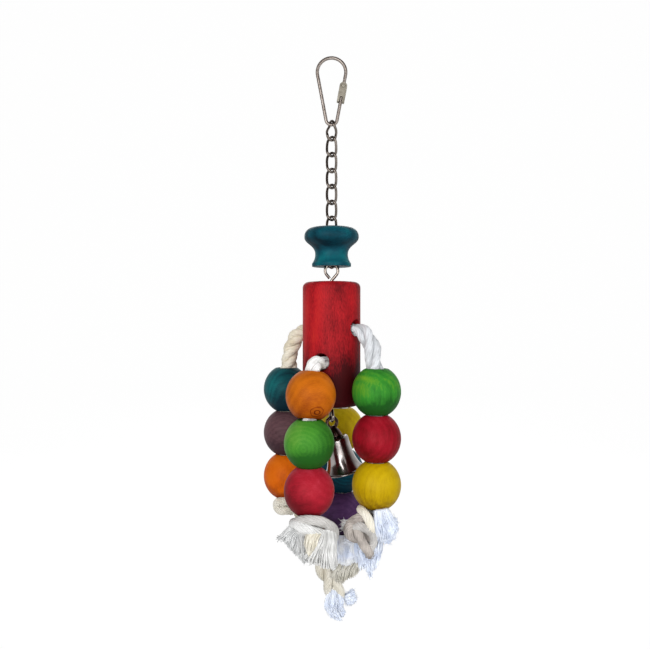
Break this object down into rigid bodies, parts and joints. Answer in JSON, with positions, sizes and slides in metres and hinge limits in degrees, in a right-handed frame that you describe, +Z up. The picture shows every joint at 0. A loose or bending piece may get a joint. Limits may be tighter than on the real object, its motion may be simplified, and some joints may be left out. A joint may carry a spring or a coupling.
{
  "type": "bird shredding toy",
  "caption": "Hanging bird shredding toy: a pear clip and chain carry a turned knob and a drilled dowel with roped strings of stained wooden beads, frayed cotton knots and a bell.",
  "frame": {"origin": "inner top of the clip, where it hangs on a cage bar", "axes": "+Z up, towards the cage roof; -Y is the pictured front; +X is to its right"},
  "size_m": [0.0705, 0.0784, 0.3027],
  "materials": {
    "clip_steel": "drawn steel wire, slightly dull",
    "clasp_steel": "stamped sheet steel, satin",
    "chain_nickel": "dark nickel plate, worn bright on the bows",
    "eye_chrome": "bright plated wire",
    "bell_chrome": "polished plate",
    "cotton": "undyed twisted cotton, matt",
    "knob_teal": "teal stain, satin",
    "dowel_red": "red stain, satin",
    "bead_orange": "orange stain, satin",
    "bead_green": "green stain, satin",
    "bead_crimson": "crimson stain, satin",
    "bead_yellow": "yellow stain, satin",
    "bead_teal": "teal stain, satin",
    "bead_plum": "plum stain, satin",
    "bead_purple": "purple stain, satin"
  },
  "bodies": {
    "clip": {"clip_wire": "clip_steel", "clip_rivet": "clasp_steel"},
    "clasp": {"clip_clasp": "clasp_steel"},
    "link_1": {"chain_link_1": "chain_nickel"},
    "link_2": {"chain_link_2": "chain_nickel"},
    "link_3": {"chain_link_3": "chain_nickel"},
    "link_4": {"chain_link_4": "chain_nickel"},
    "link_5": {"chain_link_5": "chain_nickel"},
    "link_6": {"chain_link_6": "chain_nickel"},
    "link_7": {"chain_link_7": "chain_nickel"},
    "link_8": {"chain_link_8": "chain_nickel"},
    "link_9": {"chain_link_9": "chain_nickel"},
    "knob": {"knob": "knob_teal"},
    "dowel": {"dowel": "dowel_red", "top_screw_eye": "eye_chrome", "bottom_screw_eye": "eye_chrome", "upper_rope_core": "cotton", "lower_rope_core": "cotton", "front_rope_lead": "cotton", "right_rope_lead": "cotton", "back_rope_lead": "cotton", "left_rope_lead": "cotton"},
    "front_string": {"front_rope_run": "cotton", "front_knot": "cotton", "front_frayed_end": "cotton"},
    "front_bead_1": {"front_bead_1_orange": "bead_orange"},
    "front_bead_2": {"front_bead_2_green": "bead_green"},
    "front_bead_3": {"front_bead_3_crimson": "bead_crimson"},
    "right_string": {"right_rope_run": "cotton", "right_knot": "cotton", "right_frayed_end": "cotton"},
    "right_bead_1": {"right_bead_1_green": "bead_green"},
    "right_bead_2": {"right_bead_2_crimson": "bead_crimson"},
    "right_bead_3": {"right_bead_3_yellow": "bead_yellow"},
    "back_string": {"back_rope_run": "cotton", "back_knot": "cotton", "back_frayed_end": "cotton"},
    "back_bead_1": {"back_bead_1_yellow": "bead_yellow"},
    "back_bead_2": {"back_bead_2_teal": "bead_teal"},
    "back_bead_3": {"back_bead_3_purple": "bead_purple"},
    "left_string": {"left_rope_run": "cotton", "left_knot": "cotton", "left_frayed_end": "cotton"},
    "left_bead_1": {"left_bead_1_teal": "bead_teal"},
    "left_bead_2": {"left_bead_2_plum": "bead_plum"},
    "left_bead_3": {"left_bead_3_orange": "bead_orange"},
    "bell": {"bell_crown": "bell_chrome", "bell_shell": "bell_chrome"},
    "clapper": {"bell_clapper": "bell_chrome"}
  },
  "joints": [
    {"name": "clasp_hinge", "type": "hinge", "parent": "clip", "child": "clasp", "pos_m": [0.00613, 0, -0.01396], "axis": [0, 1, 0], "range_deg": [0, 40]},
    {"name": "chain_swing_1", "type": "hinge", "parent": "clip", "child": "link_1", "pos_m": [0, 0, -0.0338], "axis": [1, 0, 0], "range_deg": [-30, 30]},
    {"name": "chain_swing_2", "type": "hinge", "parent": "link_1", "child": "link_2", "pos_m": [0, 0, -0.04017], "axis": [0.6018, -0.7986, 0], "range_deg": [-25, 25]},
    {"name": "chain_swing_3", "type": "hinge", "parent": "link_2", "child": "link_3", "pos_m": [0, 0, -0.05014], "axis": [0.7986, 0.6018, 0], "range_deg": [-25, 25]},
    {"name": "chain_swing_4", "type": "hinge", "parent": "link_3", "child": "link_4", "pos_m": [0, 0, -0.05671], "axis": [-0.7071, 0.7071, 0], "range_deg": [-25, 25]},
    {"name": "chain_swing_5", "type": "hinge", "parent": "link_4", "child": "link_5", "pos_m": [0, 0, -0.06668], "axis": [-0.7071, -0.7071, 0], "range_deg": [-25, 25]},
    {"name": "chain_swing_6", "type": "hinge", "parent": "link_5", "child": "link_6", "pos_m": [0, 0, -0.07325], "axis": [0.7071, -0.7071, 0], "range_deg": [-25, 25]},
    {"name": "chain_swing_7", "type": "hinge", "parent": "link_6", "child": "link_7", "pos_m": [0, 0, -0.08322], "axis": [0.7071, 0.7071, 0], "range_deg": [-25, 25]},
    {"name": "chain_swing_8", "type": "hinge", "parent": "link_7", "child": "link_8", "pos_m": [0, 0, -0.08979], "axis": [-0.766, 0.6428, 0], "range_deg": [-5, 5]},
    {"name": "chain_swing_9", "type": "hinge", "parent": "link_8", "child": "link_9", "pos_m": [0, 0, -0.09976], "axis": [-0.6428, -0.766, 0], "range_deg": [-2, 2]},
    {"name": "knob_spin", "type": "hinge", "parent": "link_9", "child": "knob", "pos_m": [0, 0, -0.09729], "axis": [0, 0, 1], "continuous": true},
    {"name": "dowel_swing", "type": "hinge", "parent": "link_9", "child": "dowel", "pos_m": [0, 0, -0.10953], "axis": [0, 1, 0], "range_deg": [-30, 30]},
    {"name": "front_string_swing", "type": "hinge", "parent": "dowel", "child": "front_string", "pos_m": [-0.00562, -0.01391, -0.15633], "axis": [-0.9272, 0.3746, 0], "range_deg": [0, 50], "deforming": ["front_rope_lead"]},
    {"name": "front_bead_1_spin", "type": "hinge", "parent": "front_string", "child": "front_bead_1", "pos_m": [-0.0103, -0.0255, -0.17206], "axis": [0.065, 0.161, 0.9848], "continuous": true},
    {"name": "front_bead_2_spin", "type": "hinge", "parent": "front_string", "child": "front_bead_2", "pos_m": [-0.01105, -0.02734, -0.19607], "axis": [0, 0, 1], "continuous": true},
    {"name": "front_bead_3_spin", "type": "hinge", "parent": "front_string", "child": "front_bead_3", "pos_m": [-0.01105, -0.02734, -0.21927], "axis": [0, 0, 1], "continuous": true},
    {"name": "right_string_swing", "type": "hinge", "parent": "dowel", "child": "right_string", "pos_m": [0.01258, -0.00817, -0.13933], "axis": [-0.5878, -0.809, 0], "range_deg": [0, 50], "deforming": ["right_rope_lead"]},
    {"name": "right_bead_1_spin", "type": "hinge", "parent": "right_string", "child": "right_bead_1", "pos_m": [0.02225, -0.01616, -0.17088], "axis": [0, 0, 1], "continuous": true},
    {"name": "right_bead_2_spin", "type": "hinge", "parent": "right_string", "child": "right_bead_2", "pos_m": [0.02225, -0.01616, -0.19408], "axis": [0, 0, 1], "continuous": true},
    {"name": "right_bead_3_spin", "type": "hinge", "parent": "right_string", "child": "right_bead_3", "pos_m": [0.02225, -0.01616, -0.21728], "axis": [0, 0, 1], "continuous": true},
    {"name": "back_string_swing", "type": "hinge", "parent": "dowel", "child": "back_string", "pos_m": [0.00562, 0.01391, -0.15633], "axis": [0.9781, -0.2079, 0], "range_deg": [0, 50], "deforming": ["back_rope_lead"]},
    {"name": "back_bead_1_spin", "type": "hinge", "parent": "back_string", "child": "back_bead_1", "pos_m": [0.00572, 0.0269, -0.19508], "axis": [0, 0, 1], "continuous": true},
    {"name": "back_bead_2_spin", "type": "hinge", "parent": "back_string", "child": "back_bead_2", "pos_m": [0.00572, 0.0269, -0.21828], "axis": [0, 0, 1], "continuous": true},
    {"name": "back_bead_3_spin", "type": "hinge", "parent": "back_string", "child": "back_bead_3", "pos_m": [0.00572, 0.0269, -0.24148], "axis": [0, 0, 1], "continuous": true},
    {"name": "left_string_swing", "type": "hinge", "parent": "dowel", "child": "left_string", "pos_m": [-0.01258, 0.00817, -0.13933], "axis": [0.4848, 0.8746, 0], "range_deg": [0, 50], "deforming": ["left_rope_lead"]},
    {"name": "left_bead_1_spin", "type": "hinge", "parent": "left_string", "child": "left_bead_1", "pos_m": [-0.02405, 0.01333, -0.17208], "axis": [0, 0, 1], "continuous": true},
    {"name": "left_bead_2_spin", "type": "hinge", "parent": "left_string", "child": "left_bead_2", "pos_m": [-0.02405, 0.01333, -0.19528], "axis": [0, 0, 1], "continuous": true},
    {"name": "left_bead_3_spin", "type": "hinge", "parent": "left_string", "child": "left_bead_3", "pos_m": [-0.02405, 0.01333, -0.21848], "axis": [0, 0, 1], "continuous": true},
    {"name": "bell_swing", "type": "hinge", "parent": "dowel", "child": "bell", "pos_m": [0, 0, -0.18763], "axis": [0.3007, -0.9537, 0], "range_deg": [-35, 8]},
    {"name": "clapper_swing", "type": "hinge", "parent": "bell", "child": "clapper", "pos_m": [0.00304, 0.00096, -0.19951], "axis": [0.9212, 0.2905, 0.2588], "range_deg": [-20, 20]}
  ]
}
